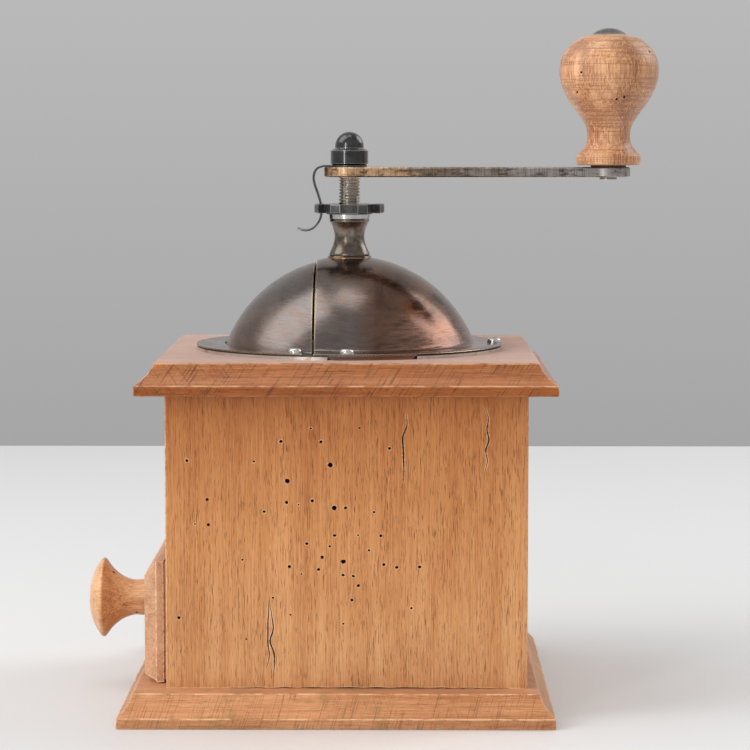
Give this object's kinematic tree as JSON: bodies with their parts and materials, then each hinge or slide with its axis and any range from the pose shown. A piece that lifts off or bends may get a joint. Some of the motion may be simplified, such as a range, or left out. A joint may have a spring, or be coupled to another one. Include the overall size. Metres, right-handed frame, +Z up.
{
  "type": "box coffee mill",
  "caption": "Square wooden box mill with coved plates and a drawer, round metal hopper dome with a sliding hatch, and a top crank with a turned wooden knob.",
  "frame": {"origin": "on the spindle's axis at the underside of the base plate", "axes": "+Z up along the spindle; +X towards the crank knob; the drawer opens towards -X"},
  "size_m": [0.1814, 0.1336, 0.21],
  "materials": {
    "box_wood": "satin, vertical grain",
    "oak_edge": "satin, end grain at the edges",
    "inner_wood": "raw",
    "knob_wood": "turned, waxed",
    "old_copper": "antique copper patina, glossy",
    "antique_brass": "worn and darkened",
    "bright_steel": "bright",
    "dark_steel": "darkened",
    "black_steel": "blackened",
    "spring_steel": "polished spring strip and wire",
    "arm_steel": "worn plating",
    "nut_steel": "worn plating",
    "tinned_steel": "tinned",
    "cast_iron": "as cast"
  },
  "bodies": {
    "mill_box": {"base_plate": "oak_edge", "base_ring": "bright_steel", "base_screws": "dark_steel", "body_back": "box_wood", "body_front": "box_wood", "body_left": "box_wood", "body_right": "box_wood", "burr_housing": "cast_iron", "corner_blocks": "inner_wood", "dome_shell": "old_copper", "flange_screws": "bright_steel", "funnel": "tinned_steel", "housing_screws": "dark_steel", "kicker_back": "inner_wood", "kicker_front": "inner_wood", "lower_stirrup": "dark_steel", "neck_bush": "antique_brass", "neck_nut": "dark_steel", "retaining_rail": "old_copper", "ring_burr": "cast_iron", "runner_back": "inner_wood", "runner_front": "inner_wood", "top_plate": "oak_edge", "track_spacer": "dark_steel", "upper_bridge": "cast_iron"},
    "drawer": {"drawer_front": "box_wood", "drawer_side_front": "inner_wood", "drawer_side_back": "inner_wood", "drawer_tail": "inner_wood", "drawer_bottom": "inner_wood", "drawer_knob": "knob_wood", "drawer_knob_screw": "dark_steel"},
    "hatch": {"hatch": "old_copper"},
    "bearing_washer": {"bearing_washer": "bright_steel"},
    "adjusting_wheel": {"adjusting_wheel": "black_steel"},
    "spindle": {"spindle": "bright_steel", "crank_arm": "arm_steel", "spring_clip": "spring_steel", "cap_nut": "nut_steel", "cone_burr": "cast_iron", "burr_nut": "dark_steel", "knob_pin": "arm_steel", "knob_washer": "dark_steel", "spindle_spring": "spring_steel"},
    "knob": {"crank_knob": "knob_wood"}
  },
  "joints": [
    {"name": "drawer_slide", "type": "slide", "parent": "mill_box", "child": "drawer", "axis": [-1, 0, 0], "range_m": [0, 0.085]},
    {"name": "hatch_turn", "type": "hinge", "parent": "mill_box", "child": "hatch", "pos_m": [0, 0, 0.11], "axis": [0, 0, 1], "range_deg": [-150, 0]},
    {"name": "crank_spin", "type": "hinge", "parent": "mill_box", "child": "bearing_washer", "pos_m": [0, 0, 0.1507], "axis": [0, 0, 1], "continuous": true},
    {"name": "wheel_turn", "type": "hinge", "parent": "bearing_washer", "child": "adjusting_wheel", "pos_m": [0, 0, 0.153], "axis": [0, 0, 1], "range_deg": [-315, 315], "deforming": ["spring_clip"]},
    {"name": "grind_adjust", "type": "slide", "parent": "bearing_washer", "child": "spindle", "axis": [0, 0, 1], "range_m": [-0.00088, 0.00088], "deforming": ["spindle_spring"]},
    {"name": "knob_spin", "type": "hinge", "parent": "spindle", "child": "knob", "pos_m": [0.082, 0, 0.187], "axis": [0, 0, 1], "continuous": true}
  ],
  "couplings": [
    {"joint": "wheel_turn", "follows": "grind_adjust", "rad_per_m": -6283.2}
  ]
}
